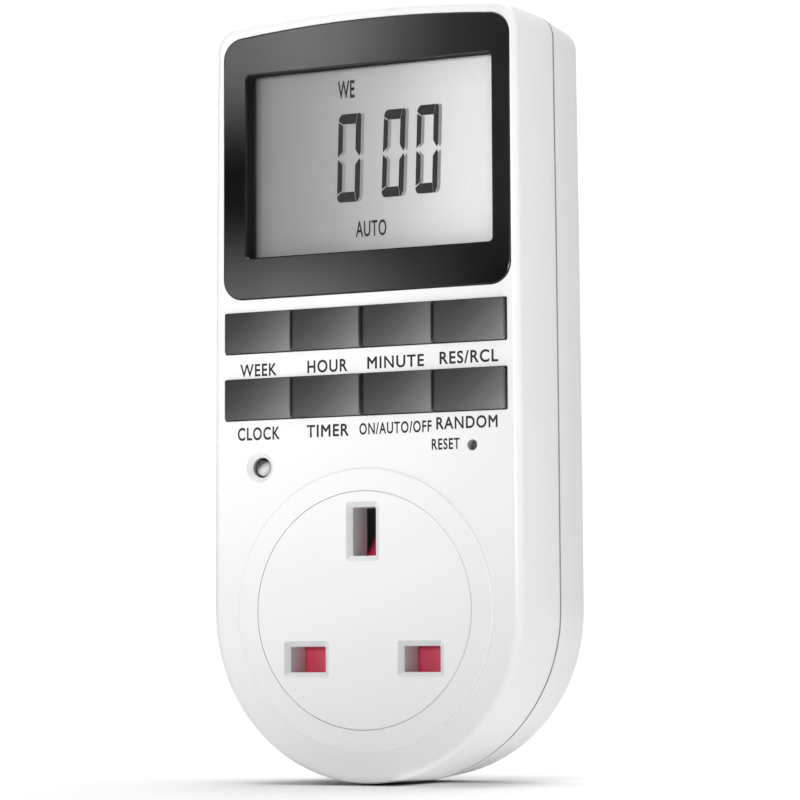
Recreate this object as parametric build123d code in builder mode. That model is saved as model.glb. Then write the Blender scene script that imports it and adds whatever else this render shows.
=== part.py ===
"""Programmable plug-in timer with a digital display, eight keys and a three-pin outlet.

The timer plugs into a wall outlet by the pins on its back and passes the supply, switched by a
relay, to the outlet on its front. Units are millimetres. +X is to the right seen from the front,
+Z is up and +Y points into the wall. The origin lies on the plug face that meets the wall outlet,
midway between the earth pin and the line and neutral pins.
"""

from build123d import *
import os

# ---- driving dimensions --------------------------------------------------------------------
PIN_PITCH = 22.22  # spacing of the three pins, across and up, of a 13 A plug
EARTH_Z = PIN_PITCH / 2
LIVE_Z = -PIN_PITCH / 2
LIVE_X = PIN_PITCH / 2  # line at +X, neutral at -X
EARTH_PIN = (4.0, 8.0)  # width and height of the earth pin
LIVE_PIN = (6.35, 4.0)  # width and height of the line and neutral pins
EARTH_REACH = 22.7
LIVE_REACH = 17.7
SLEEVE_REACH = 9.5

PLUG_FACE_Y = 0.0
REAR_Y = -2.0
SEAM_Y = -15.9
FRONT_Y = -32.0
OUTLET_FACE_Y = -32.5  # the outlet disc and its ring stand proud of the front face
WALL = 2.0
REAR_WALL = 2.5

BODY_HALF = 30.0  # half width at the front face, and the radius of the round bottom
CIRCLE_Z = -2.6  # height of the centre of the round bottom and of the outlet disc
TOP_Z = 104.0
SHOULDER_Z = 102.1  # height of the top corners before rounding
SIDE_LEAN = 0.5  # how much the sides close in towards the top
CORNER_R = 4.0
FLARE = 0.4  # how much the seam stands out from the front face
FRONT_EDGE_R = 1.2
REAR_EDGE_R = 2.6
REAR_TAPER = 0.35  # how much the rear face is smaller than the front face, on each side
SEAM_GAP = 0.45
SEAM_GROOVE = 0.6
LIP = 1.5

RING_R = 24.8
DISC_R = 20.8
PAD_R = 20.4

WINDOW_X = 0.85  # the display window's centre
WINDOW_Z = 77.15
WINDOW = (48.3, 33.2)
BEZEL_X = 0.25  # the bezel's centre and half width
BEZEL_HALF = 28.15
BEZEL_BOTTOM_Z = 53.1
BEZEL_TOP_Z = 101.85
BEZEL_SHOULDER_Z = 100.2
BEZEL_CORNER_R = 3.8

KEY_X = (-20.65, -7.0, 7.0, 20.65)
KEY_Z = (47.05, 35.1)
KEY_CAP = (13.1, 7.15)
KEY_WINDOW = (55.3, 7.55)
KEY_PROUD = 1.0
KEY_TRAVEL = 0.8
KEY_NAMES = (
    ("week_key", "hour_key", "minute_key", "recall_key"),
    ("clock_key", "timer_key", "mode_key", "random_key"),
)

LED_X, LED_Z, LED_R = -20.65, 22.95, 1.5
LED_HOLE_R = 1.8  # the light sits in this hole with a dark gap around it
RESET_X, RESET_Z, RESET_HOLE_R = 20.9, 25.5, 0.95

BOARD_FRONT_Y = -25.5
BOARD_BACK_Y = -23.9
POWER_FRONT_Y = -6.6
POWER_BACK_Y = -5.0
INSIDE_REAR_Y = REAR_Y - REAR_WALL

SHUTTER_FRONT_Y = OUTLET_FACE_Y + 6.4
SHUTTER_T = 1.8
SHUTTER_TRAVEL = 5.8
BASE_Y = -11.1  # front of the contacts' base plates, behind the carrier
BASE_T = 0.8
BASE_WING = 3.2  # how much longer a contact's base is than its leaves are wide

CASE_SCREWS = ((-22.0, 98.4), (22.0, 98.4), (-19.2, -16.7), (19.2, -16.7))
BOARD_SCREWS = ((-24.0, 55.75), (24.0, 55.75), (-25.2, 20.9), (25.2, 20.9))
POWER_SCREWS = ((-23.0, 30.5), (23.0, 30.5), (-23.0, 90.0), (23.0, 90.0))
CARRIER_SCREWS = ((-15.6, 6.8), (15.6, 6.8))

APERTURES = (
    (0.0, EARTH_Z, 4.5, 8.5),
    (LIVE_X, LIVE_Z, 6.9, 4.5),
    (-LIVE_X, LIVE_Z, 6.9, 4.5),
)


# ---- helpers ---------------------------------------------------------------------------------
def facing_front(y):
    """A sketch plane at depth y whose normal points out of the timer's front."""
    return Plane.XZ.offset(-y)


def facing_wall(y):
    """A sketch plane at depth y whose normal points at the wall. Its x runs to -X."""
    return Plane(origin=(0, y, 0), x_dir=(-1, 0, 0), z_dir=(0, 1, 0))


def body_shape(grow):
    """The timer's outline grown by a distance: round bottom, leaning sides, arched top."""
    half = BODY_HALF + grow
    shoulder = (half - SIDE_LEAN, SHOULDER_Z + grow)
    with BuildSketch() as shape:
        with BuildLine():
            ThreePointArc((-half, CIRCLE_Z), (0, CIRCLE_Z - half), (half, CIRCLE_Z))
            TangentArc((half, CIRCLE_Z), shoulder, tangent=(0, 1))
            TangentArc((-half, CIRCLE_Z), (-shoulder[0], shoulder[1]), tangent=(0, 1))
            ThreePointArc((-shoulder[0], shoulder[1]), (0, TOP_Z + grow), shoulder)
        make_face()
        fillet(shape.vertices().group_by(Axis.Y)[-1], radius=CORNER_R + grow)
    return shape.sketch


def bezel_shape(grow):
    """The bezel's outline grown by a distance: flat bottom, arched top, rounded corners."""
    left, right = BEZEL_X - BEZEL_HALF - grow, BEZEL_X + BEZEL_HALF + grow
    bottom_z = BEZEL_BOTTOM_Z - grow
    shoulder_z = BEZEL_SHOULDER_Z + grow
    crown = (BEZEL_X, BEZEL_TOP_Z + grow)
    with BuildSketch() as shape:
        with BuildLine():
            Polyline((left, shoulder_z), (left, bottom_z), (right, bottom_z), (right, shoulder_z))
            ThreePointArc((left, shoulder_z), crown, (right, shoulder_z))
        make_face()
        fillet(shape.vertices(), radius=BEZEL_CORNER_R + grow)
    return shape.sketch


def prism(shape, y, mode=Mode.ADD):
    """A straight bar along Y between the two depths in y, with the given cross-section."""
    return extrude(facing_front(y[1]) * shape, amount=y[1] - y[0], mode=mode)


def tapered_body(near, far, mode=Mode.ADD):
    """The timer's outline drawn out along Y. near and far each give a depth and a growth."""
    ends = [facing_front(y) * body_shape(grow) for y, grow in (near, far)]
    return loft(ends, ruled=True, mode=mode)


def cone(x, z, near, far, mode=Mode.ADD):
    """A round taper along Y. near and far each give a depth and a radius."""
    ends = []
    for y, radius in (near, far):
        with BuildSketch(facing_wall(y)) as end:
            with Locations((-x, z)):
                Circle(radius)
        ends.append(end.sketch)
    return loft(ends, mode=mode)


def funnel(x, z, near, far, mode=Mode.ADD):
    """A rectangular taper along Y. near and far each give a depth, width, height and corner."""
    ends = []
    for y, width, height, corner in (near, far):
        with BuildSketch(facing_wall(y)) as end:
            with Locations((-x, z)):
                RectangleRounded(width, height, corner)
        ends.append(end.sketch)
    return loft(ends, mode=mode)


def block(x, y, z, mode=Mode.ADD):
    """A box given by its low and high limits along each axis."""
    middle = [(low + high) / 2 for low, high in (x, y, z)]
    sizes = [high - low for low, high in (x, y, z)]
    with Locations(tuple(middle)):
        return Box(*sizes, mode=mode)


def rod(x, z, y, radius, mode=Mode.ADD):
    """A cylinder along Y between the two depths in y."""
    with BuildSketch(facing_wall(y[0])) as sketch:
        with Locations((-x, z)):
            Circle(radius)
    return extrude(sketch.sketch, amount=y[1] - y[0], mode=mode)


def tube(x, z, y, width, height, mode=Mode.ADD, corner=0.0):
    """A rectangular bar along Y between the two depths in y."""
    with BuildSketch(facing_wall(y[0])) as sketch:
        with Locations((-x, z)):
            if corner:
                RectangleRounded(width, height, corner)
            else:
                Rectangle(width, height)
    return extrude(sketch.sketch, amount=y[1] - y[0], mode=mode)


def screw(x, z, head_y, head_t, head_r, shaft_r, length):
    """A cross-head screw along Y with its head at the rear of head_y and its tip towards -Y."""
    rod(x, z, (head_y, head_y + head_t), head_r)
    rod(x, z, (head_y - length, head_y), shaft_r)
    slot_depth = 0.6 * head_t
    for width, height in ((1.4 * head_r, 0.35 * head_r), (0.35 * head_r, 1.4 * head_r)):
        tube(
            x, z, (head_y + head_t - slot_depth, head_y + head_t), width, height, Mode.SUBTRACT
        )


def save(part, name):
    """Labels a finished piece and writes it as one STEP file."""
    part.label = name
    export_step(part, f"parts/{name}.step")


os.makedirs("parts", exist_ok=True)

# ---- front shell -------------------------------------------------------------------------------
with BuildPart() as front_shell:
    tapered_body((FRONT_Y, 0.0), (SEAM_Y, FLARE))
    fillet(front_shell.faces().sort_by(Axis.Y)[0].edges(), radius=FRONT_EDGE_R)
    tapered_body((FRONT_Y + WALL, -WALL), (SEAM_Y, FLARE - WALL), Mode.SUBTRACT)
    # raised ring around the outlet disc
    rod(0, CIRCLE_Z, (OUTLET_FACE_Y, FRONT_Y + 0.1), RING_R)
    ring_edges = front_shell.faces().sort_by(Axis.Y)[0].edges()
    fillet(ring_edges, radius=0.3)
    rod(0, CIRCLE_Z, (OUTLET_FACE_Y - 1, FRONT_Y + WALL + 1), DISC_R + 0.06, Mode.SUBTRACT)
    # pocket and opening for the bezel
    prism(bezel_shape(0.08), (FRONT_Y - 1, FRONT_Y + 1.0), Mode.SUBTRACT)
    tube(
        WINDOW_X,
        WINDOW_Z,
        (FRONT_Y - 1, FRONT_Y + WALL + 1),
        WINDOW[0] + 3.4,
        WINDOW[1] + 3.4,
        Mode.SUBTRACT,
        1.7,
    )
    # one window for each row of keys
    for row_z in KEY_Z:
        tube(0, row_z, (FRONT_Y - 1, FRONT_Y + WALL + 1), *KEY_WINDOW, Mode.SUBTRACT, 0.25)
    # countersunk lamp hole and reset hole
    rod(LED_X, LED_Z, (FRONT_Y - 1, FRONT_Y + WALL + 1), LED_HOLE_R, Mode.SUBTRACT)
    cone(LED_X, LED_Z, (FRONT_Y, 2.7), (FRONT_Y + 0.9, LED_HOLE_R), Mode.SUBTRACT)
    rod(RESET_X, RESET_Z, (FRONT_Y - 1, FRONT_Y + WALL + 1), RESET_HOLE_R, Mode.SUBTRACT)
    # bosses for the case screws and for the control board
    for x, z in CASE_SCREWS:
        rod(x, z, (FRONT_Y + WALL - 0.2, SEAM_Y), 2.2)
    for x, z in BOARD_SCREWS:
        rod(x, z, (FRONT_Y + WALL - 0.2, BOARD_FRONT_Y), 1.9)
    # shadow groove along the seam, and the locating lip that enters the rear shell
    groove = body_shape(FLARE + 1.0) - body_shape(FLARE - SEAM_GROOVE)
    prism(groove, (SEAM_Y - SEAM_GAP, SEAM_Y + 0.1), Mode.SUBTRACT)
    lip_ring = body_shape(FLARE - 1.0) - body_shape(FLARE - WALL)
    prism(lip_ring, (SEAM_Y, SEAM_Y + LIP))
    for x, z in CASE_SCREWS:
        rod(x, z, (SEAM_Y, SEAM_Y + LIP + 0.1), 2.9, Mode.SUBTRACT)
        rod(x, z, (SEAM_Y - 9.0, SEAM_Y + 1), 1.2, Mode.SUBTRACT)
    for x, z in BOARD_SCREWS:
        rod(x, z, (BOARD_FRONT_Y - 3.6, BOARD_FRONT_Y + 0.1), 0.8, Mode.SUBTRACT)
save(front_shell.part, "front_shell")

# ---- rear shell --------------------------------------------------------------------------------
with BuildPart() as rear_shell:
    tapered_body((SEAM_Y, FLARE), (REAR_Y, -REAR_TAPER))
    fillet(rear_shell.faces().sort_by(Axis.Y)[-1].edges(), radius=REAR_EDGE_R)
    tapered_body((SEAM_Y, FLARE - WALL), (INSIDE_REAR_Y, -REAR_TAPER - WALL), Mode.SUBTRACT)
    # posts for the case screws
    for x, z in CASE_SCREWS:
        rod(x, z, (SEAM_Y, REAR_Y - 1), 2.8)
        rod(x, z, (REAR_Y - 7.2, REAR_Y - 1), 3.4)
    # rebate that takes the front shell's lip
    prism(body_shape(FLARE - 0.95), (SEAM_Y, SEAM_Y + LIP + 0.2), Mode.SUBTRACT)
    for x, z in CASE_SCREWS:
        rod(x, z, (SEAM_Y, SEAM_Y + LIP + 0.4), 2.8)
    # raised plug pad
    rod(0, CIRCLE_Z, (REAR_Y - 0.2, PLUG_FACE_Y), PAD_R)
    fillet(rear_shell.faces().sort_by(Axis.Y)[-1].edges(), radius=0.5)
    # recess for the rating label
    tube(0, 60.0, (REAR_Y - 0.2, REAR_Y + 1), 42.0, 30.0, Mode.SUBTRACT, 1.5)
    # screw clearance holes and counterbores, and the pins' passages
    for x, z in CASE_SCREWS:
        rod(x, z, (SEAM_Y - 1, REAR_Y + 1), 1.35, Mode.SUBTRACT)
        rod(x, z, (REAR_Y - 6.0, REAR_Y + 3), 2.4, Mode.SUBTRACT)
    tube(0, EARTH_Z, (INSIDE_REAR_Y - 1, 1), *EARTH_PIN, Mode.SUBTRACT)
    for side in (-1, 1):
        tube(side * LIVE_X, LIVE_Z, (INSIDE_REAR_Y - 1, 1), *LIVE_PIN, Mode.SUBTRACT)
    # pads and pilot holes for the power board's screws
    for x, z in POWER_SCREWS:
        rod(x, z, (POWER_BACK_Y, INSIDE_REAR_Y + 0.1), 2.4)
        rod(x, z, (POWER_BACK_Y - 1, POWER_BACK_Y + 2.2), 0.8, Mode.SUBTRACT)
save(rear_shell.part, "rear_shell")

# ---- display: bezel, lens, glass, reflector, holder and contact strips ---------------------------
BEZEL_FRONT_Y = FRONT_Y - 0.2
BEZEL_BACK_Y = -29.3
LENS_BACK_Y = -28.5
GLASS_FRONT_Y = -28.3
GLASS_BACK_Y = -26.9
REFLECTOR_BACK_Y = -26.7
GLASS_SIZE = (50.4, 36.2)
with BuildPart() as display_bezel:
    prism(bezel_shape(0.0), (BEZEL_FRONT_Y, FRONT_Y + 1.0))
    fillet(display_bezel.faces().sort_by(Axis.Y)[0].edges(), radius=0.25)
    tube(
        WINDOW_X,
        WINDOW_Z,
        (FRONT_Y + 0.9, BEZEL_BACK_Y),
        WINDOW[0] + 3.2,
        WINDOW[1] + 3.2,
        corner=1.6,
    )
    tube(
        WINDOW_X, WINDOW_Z, (BEZEL_FRONT_Y - 1, BEZEL_BACK_Y + 1), *WINDOW, Mode.SUBTRACT, 0.8
    )
    window_rim = display_bezel.faces().sort_by(Axis.Y)[0].inner_wires()[0].edges()
    chamfer(window_rim, length=0.2)
save(display_bezel.part, "display_bezel")

with BuildPart() as display_lens:
    tube(WINDOW_X, WINDOW_Z, (BEZEL_BACK_Y, LENS_BACK_Y), 50.4, 35.2, corner=0.8)
save(display_lens.part, "display_lens")

with BuildPart() as lcd_glass:
    tube(WINDOW_X, WINDOW_Z, (GLASS_FRONT_Y, GLASS_BACK_Y), *GLASS_SIZE)
save(lcd_glass.part, "lcd_glass")

with BuildPart() as lcd_reflector:
    tube(WINDOW_X, WINDOW_Z, (GLASS_BACK_Y, REFLECTOR_BACK_Y), 50.0, 33.0)
save(lcd_reflector.part, "lcd_reflector")

with BuildPart() as display_holder:
    tube(WINDOW_X, WINDOW_Z, (BEZEL_BACK_Y, BOARD_FRONT_Y), 52.8, 38.0, corner=0.6)
    tube(
        WINDOW_X,
        WINDOW_Z,
        (BEZEL_BACK_Y - 1, BOARD_FRONT_Y + 1),
        GLASS_SIZE[0] + 0.2,
        GLASS_SIZE[1] + 0.2,
        Mode.SUBTRACT,
    )
save(display_holder.part, "display_holder")

with BuildPart() as zebra_strips:
    for side in (-1, 1):
        tube(WINDOW_X, WINDOW_Z + side * 17.3, (GLASS_BACK_Y, BOARD_FRONT_Y), 46.0, 1.2)
save(zebra_strips.part, "zebra_strips")

# ---- control board and what stands on it ---------------------------------------------------------
CONTROL_Z = (18.8, 95.9)
CONTROL_HALF = 27.3
with BuildPart() as control_board:
    block((-CONTROL_HALF, CONTROL_HALF), (BOARD_FRONT_Y, BOARD_BACK_Y), CONTROL_Z)
    fillet(control_board.edges().filter_by(Axis.Y), radius=1.5)
    for x, z in BOARD_SCREWS:
        rod(x, z, (BOARD_FRONT_Y - 1, BOARD_BACK_Y + 1), 1.0, Mode.SUBTRACT)
save(control_board.part, "control_board")

with BuildPart() as control_chip:
    with BuildSketch(facing_wall(BOARD_BACK_Y)):
        with Locations((0, 62)):
            Circle(5.2)
    extrude(amount=1.3)
    fillet(control_chip.faces().sort_by(Axis.Y)[-1].edges(), radius=1.2)
save(control_chip.part, "control_chip")

with BuildPart() as clock_crystal:
    with BuildSketch(Plane.YZ.offset(8.0)):
        with Locations((BOARD_BACK_Y + 1.05, 68.0)):
            Circle(1.05)
    extrude(amount=6.2)
save(clock_crystal.part, "clock_crystal")

with BuildPart() as backup_battery:
    rod(-14.0, 80.0, (BOARD_BACK_Y, BOARD_BACK_Y + 6.0), 7.75)
    fillet(backup_battery.faces().sort_by(Axis.Y)[-1].edges(), radius=0.8)
save(backup_battery.part, "backup_battery")

with BuildPart() as status_led:
    rod(LED_X, LED_Z, (-31.6 + LED_R, BOARD_FRONT_Y), LED_R)
    with Locations((LED_X, -31.6 + LED_R, LED_Z)):
        Sphere(LED_R)
    rod(LED_X, LED_Z, (-27.0, BOARD_FRONT_Y), 1.9)
save(status_led.part, "status_led")

LINK_X = [2.54 * (i - 2.5) for i in range(6)]
LINK_Z = 90.5
with BuildPart() as link_pins:
    for x in LINK_X:
        tube(x, LINK_Z, (BOARD_BACK_Y, POWER_FRONT_Y), 0.64, 0.64)
save(link_pins.part, "link_pins")

with BuildPart() as link_header:
    for low in (BOARD_BACK_Y, POWER_FRONT_Y - 2.5):
        tube(0, LINK_Z, (low, low + 2.5), 15.2, 2.5)
    for x in LINK_X:
        tube(x, LINK_Z, (BOARD_BACK_Y - 1, POWER_FRONT_Y + 1), 0.66, 0.66, Mode.SUBTRACT)
save(link_header.part, "link_header")

with BuildPart() as board_screws:
    for x, z in BOARD_SCREWS:
        screw(x, z, BOARD_BACK_Y, 1.0, 1.7, 0.8, 4.6)
save(board_screws.part, "board_screws")

# ---- keypad mat, keys and reset button -------------------------------------------------------------
MAT_FRONT_Y = BOARD_FRONT_Y - 1.0
DOME_TOP_Y = -27.9
FLANGE_Y = (-29.9, -28.9)
with BuildPart() as keypad_mat:
    block((-27.0, 27.0), (MAT_FRONT_Y, BOARD_FRONT_Y), (28.6, 53.4))
    for row_z in KEY_Z:
        for key_x in KEY_X:
            cone(key_x, row_z, (DOME_TOP_Y, 1.9), (MAT_FRONT_Y, 2.9))
            rod(key_x, row_z, (MAT_FRONT_Y, BOARD_FRONT_Y + 1), 2.4, Mode.SUBTRACT)
            hollow_top = (DOME_TOP_Y + 0.5, 1.5)
            cone(key_x, row_z, hollow_top, (MAT_FRONT_Y, 2.4), Mode.SUBTRACT)
            rod(key_x, row_z, (DOME_TOP_Y + 0.4, BOARD_FRONT_Y - KEY_TRAVEL), 1.2)
    for x, z in BOARD_SCREWS:
        rod(x, z, (MAT_FRONT_Y - 1, BOARD_FRONT_Y + 1), 2.2, Mode.SUBTRACT)
save(keypad_mat.part, "keypad_mat")


def keycap(x, z):
    """A keycap with a dished top, a flange that stops it inside the shell, and a stem."""
    top_y = FRONT_Y - KEY_PROUD
    dish_r = 55.0
    with BuildPart() as key:
        tube(x, z, (top_y, FLANGE_Y[1]), *KEY_CAP, corner=0.3)
        with BuildSketch(Plane.XY.offset(z - 10)):
            with Locations((x, top_y + 0.35 - dish_r)):
                Circle(dish_r)
        extrude(amount=20, mode=Mode.SUBTRACT)
        top = key.faces().sort_by(Axis.Y)[0]
        fillet(top.edges(), radius=0.28)
        tube(x, z, FLANGE_Y, KEY_CAP[0], KEY_CAP[1] + 2.0)
        rod(x, z, (FLANGE_Y[1], DOME_TOP_Y - 0.05), 1.6)
    return key.part


for row_names, row_z in zip(KEY_NAMES, KEY_Z):
    for key_name, key_x in zip(row_names, KEY_X):
        save(keycap(key_x, row_z), key_name)

SWITCH_FRONT_Y = BOARD_FRONT_Y - 1.6
with BuildPart() as reset_switch:
    tube(RESET_X, RESET_Z, (SWITCH_FRONT_Y, BOARD_FRONT_Y), 4.4, 4.4)
    rod(RESET_X, RESET_Z, (SWITCH_FRONT_Y - 1, SWITCH_FRONT_Y + 0.9), 0.85, Mode.SUBTRACT)
save(reset_switch.part, "reset_switch")

with BuildPart() as reset_button:
    rod(RESET_X, RESET_Z, (-30.6, SWITCH_FRONT_Y + 0.5), 0.8)
    fillet(reset_button.faces().sort_by(Axis.Y)[0].edges(), radius=0.25)
save(reset_button.part, "reset_button")

# ---- outlet: insert, shutter, spring, carrier and contacts -----------------------------------------
INSERT_BACK_Y = -30.0
BOSS_BACK_Y = SHUTTER_FRONT_Y - 0.1
PEG_Z = (-13.0, -12.0)
with BuildPart() as socket_insert:
    rod(0, CIRCLE_Z, (OUTLET_FACE_Y, INSERT_BACK_Y + 0.1), DISC_R)
    chamfer(socket_insert.faces().sort_by(Axis.Y)[0].edges(), length=0.12)
    rod(0, CIRCLE_Z, (INSERT_BACK_Y, INSERT_BACK_Y + 1.2), 22.2)
    for x, z in CASE_SCREWS[2:]:
        rod(x, z, (INSERT_BACK_Y, INSERT_BACK_Y + 2), 2.4, Mode.SUBTRACT)
    for x, z, width, height in APERTURES:
        tube(x, z, (INSERT_BACK_Y, BOSS_BACK_Y), width + 2.4, height + 2.4)
    for x, z in CARRIER_SCREWS:
        rod(x, z, (INSERT_BACK_Y, BASE_Y - 1.8), 2.2)
        rod(x, z, (BASE_Y - 8.6, BASE_Y - 1), 1.0, Mode.SUBTRACT)
    block((-2.0, 2.0), (INSERT_BACK_Y, SHUTTER_FRONT_Y + 2.0), PEG_Z)
    for side in (-1, 1):
        block(
            sorted((side * 15.9, side * 17.1)),
            (INSERT_BACK_Y, SHUTTER_FRONT_Y + 2.0),
            (-13.0, -4.0),
        )
        block(
            sorted((side * 5.5, side * 6.7)),
            (INSERT_BACK_Y, SHUTTER_FRONT_Y + 2.0),
            (-3.0, 4.0),
        )
    for x, z, width, height in APERTURES:
        tube(x, z, (OUTLET_FACE_Y - 1, BOSS_BACK_Y + 1), width, height, Mode.SUBTRACT, 0.2)
        mouth = (OUTLET_FACE_Y, width + 1.9, height + 1.9, 0.5)
        throat = (OUTLET_FACE_Y + 0.75, width, height, 0.2)
        funnel(x, z, mouth, throat, Mode.SUBTRACT)
save(socket_insert.part, "socket_insert")

RAMP_Z = (6.8, 6.8 + SHUTTER_TRAVEL)
shutter_back_y = SHUTTER_FRONT_Y + SHUTTER_T
with BuildPart() as safety_shutter:
    with BuildSketch(facing_wall(SHUTTER_FRONT_Y)):
        with Locations((0, -11.0)):
            RectangleRounded(31.0, 6.8, 0.8)
        with Locations((0, -4.2)):
            RectangleRounded(10.4, 22.0, 0.8)
        with Locations((0, -5.6)):
            RectangleRounded(5.6, 15.4, 0.6, mode=Mode.SUBTRACT)
    extrude(amount=SHUTTER_T)
    ramp_reach = SHUTTER_TRAVEL + 0.2
    with BuildSketch(Plane.YZ.offset(-2.7)):
        with BuildLine():
            Polyline(
                (SHUTTER_FRONT_Y, RAMP_Z[0] - 2.2),
                (SHUTTER_FRONT_Y, RAMP_Z[0]),
                (SHUTTER_FRONT_Y + SHUTTER_TRAVEL, RAMP_Z[1]),
                (SHUTTER_FRONT_Y + ramp_reach, RAMP_Z[1]),
                (SHUTTER_FRONT_Y + ramp_reach, RAMP_Z[1] - 2.2),
                (shutter_back_y, RAMP_Z[0] - 2.2),
                close=True,
            )
        make_face()
    extrude(amount=5.4)
save(safety_shutter.part, "safety_shutter")

SPRING_Y = SHUTTER_FRONT_Y + 0.9
SPRING_Z = (PEG_Z[1] + 0.35, 1.75)
SPRING_TURNS = 7
with BuildPart() as shutter_spring:
    spring_length = SPRING_Z[1] - SPRING_Z[0]
    with BuildLine(Plane.XY.offset(SPRING_Z[0])) as coil:
        Helix(pitch=spring_length / SPRING_TURNS, height=spring_length, radius=1.7)
    with BuildSketch(Plane(coil.line @ 0, z_dir=coil.line % 0)):
        Circle(0.22)
    sweep(path=coil.line, is_frenet=True)
shutter_spring_part = shutter_spring.part.moved(Location((0, SPRING_Y, 0)))
save(shutter_spring_part, "shutter_spring")

CARRIER_FRONT_Y = shutter_back_y + 0.1
PLATE_Y = (BASE_Y - 1.8, BASE_Y)
LIVE_POCKET = (6.9, 5.8)
EARTH_POCKET = (5.8, 8.9)
with BuildPart() as contact_carrier:
    rod(0, CIRCLE_Z, PLATE_Y, 20.4)
    tube(0, EARTH_Z, (-19.4, PLATE_Y[0]), EARTH_POCKET[0] + 2, EARTH_POCKET[1] + 2)
    tube(0, EARTH_Z, (-20.0, PLATE_Y[1] + 1), *EARTH_POCKET, Mode.SUBTRACT)
    for side in (-1, 1):
        tube(
            side * LIVE_X,
            LIVE_Z,
            (CARRIER_FRONT_Y, PLATE_Y[0]),
            LIVE_POCKET[0] + 2,
            LIVE_POCKET[1] + 2,
        )
        tube(
            side * LIVE_X,
            LIVE_Z,
            (CARRIER_FRONT_Y - 1, PLATE_Y[1] + 1),
            *LIVE_POCKET,
            Mode.SUBTRACT,
        )
    for x, z in CARRIER_SCREWS:
        rod(x, z, (PLATE_Y[0] - 1, PLATE_Y[1] + 1), 1.2, Mode.SUBTRACT)
save(contact_carrier.part, "contact_carrier")


def contact_clip(x, z, tip_y, leaf_width, upright, tail_hole):
    """A pair of sprung leaves on a base plate. Upright leaves stand left and right of the pin."""
    grip_y = tip_y + 1.8
    leaf_t = 0.55
    inner = ((2.3, BASE_Y), (1.8, grip_y), (2.25, tip_y))
    with BuildPart() as clip:
        if upright:
            plane = Plane(origin=(x, 0, z - leaf_width / 2), x_dir=(1, 0, 0), z_dir=(0, 0, 1))
        else:
            plane = Plane(origin=(x - leaf_width / 2, 0, z), x_dir=(0, 0, -1), z_dir=(1, 0, 0))
        for side in (-1, 1):
            with BuildSketch(plane):
                with BuildLine():
                    near = [(side * gap, y) for gap, y in inner]
                    far = [(side * (gap + leaf_t), y) for gap, y in reversed(inner)]
                    Polyline(*near, *far, close=True)
                make_face()
            extrude(amount=leaf_width)
        across = 2 * (inner[0][0] + leaf_t)
        along = leaf_width + BASE_WING
        size = (across, along) if upright else (along, across)
        tube(x, z, (BASE_Y, BASE_Y + BASE_T), *size)
        if tail_hole:
            rod(x, z, (BASE_Y - 1, BASE_Y + BASE_T + 1), 1.0, Mode.SUBTRACT)
    return clip.part


save(contact_clip(0, EARTH_Z, -18.6, 7.4, True, True), "earth_contact")
save(contact_clip(LIVE_X, LIVE_Z, -23.4, 5.4, False, False), "line_contact")
save(contact_clip(-LIVE_X, LIVE_Z, -23.4, 5.4, False, True), "neutral_contact")

with BuildPart() as carrier_screws:
    for x, z in CARRIER_SCREWS:
        screw(x, z, BASE_Y, 1.3, 2.0, 1.0, 8.0)
save(carrier_screws.part, "carrier_screws")

# ---- plug pins and supply strips -----------------------------------------------------------------
TAIL_R = 1.0
STRIP_T = 0.6
STRIP_Y = (POWER_FRONT_Y - STRIP_T, POWER_FRONT_Y)


def plug_pin(x, z, size, reach, neck, tail_y):
    """A flat plug pin with a root flange inside the shell and a riveted tail."""
    width, height = size
    with BuildPart() as pin:
        if neck:
            tube(x, z, (INSIDE_REAR_Y, SLEEVE_REACH), width - neck, height - neck)
            tube(x, z, (SLEEVE_REACH, reach), width, height)
        else:
            tube(x, z, (INSIDE_REAR_Y, reach), width, height)
        chamfer(pin.faces().sort_by(Axis.Y)[-1].edges(), length=0.9)
        long_edges = pin.edges().filter_by(Axis.Y).filter_by(lambda e: e.length > 6)
        fillet(long_edges, radius=0.25)
        tube(x, z, (POWER_FRONT_Y, INSIDE_REAR_Y), width + 3.0, height + 3.0, corner=0.8)
        rod(x, z, (tail_y, POWER_FRONT_Y), TAIL_R)
    return pin.part


tail_to_base_y = BASE_Y
save(plug_pin(0, EARTH_Z, EARTH_PIN, EARTH_REACH, 0, tail_to_base_y), "earth_pin")
save(plug_pin(-LIVE_X, LIVE_Z, LIVE_PIN, LIVE_REACH, 1.2, tail_to_base_y), "neutral_pin")
save(plug_pin(LIVE_X, LIVE_Z, LIVE_PIN, LIVE_REACH, 1.2, POWER_FRONT_Y - 1.2), "line_pin")


def pin_sleeve(x):
    """The insulating sleeve around the root of a line or neutral pin."""
    with BuildPart() as sleeve:
        tube(x, LIVE_Z, (INSIDE_REAR_Y, SLEEVE_REACH), *LIVE_PIN)
        tube(
            x,
            LIVE_Z,
            (INSIDE_REAR_Y - 1, SLEEVE_REACH + 1),
            LIVE_PIN[0] - 1.2,
            LIVE_PIN[1] - 1.2,
            Mode.SUBTRACT,
        )
    return sleeve.part


save(pin_sleeve(LIVE_X), "line_pin_sleeve")
save(pin_sleeve(-LIVE_X), "neutral_pin_sleeve")

for strip_name, strip_x in (("line_feed_strip", LIVE_X), ("neutral_strip", -LIVE_X)):
    with BuildPart() as feed_strip:
        block((strip_x - 2.0, strip_x + 2.0), STRIP_Y, (LIVE_Z - 2.4, 33.0))
        fillet(feed_strip.edges().filter_by(Axis.Y), radius=0.8)
        rod(strip_x, LIVE_Z, (STRIP_Y[0] - 1, STRIP_Y[1] + 1), TAIL_R + 0.02, Mode.SUBTRACT)
    save(feed_strip.part, strip_name)

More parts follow.
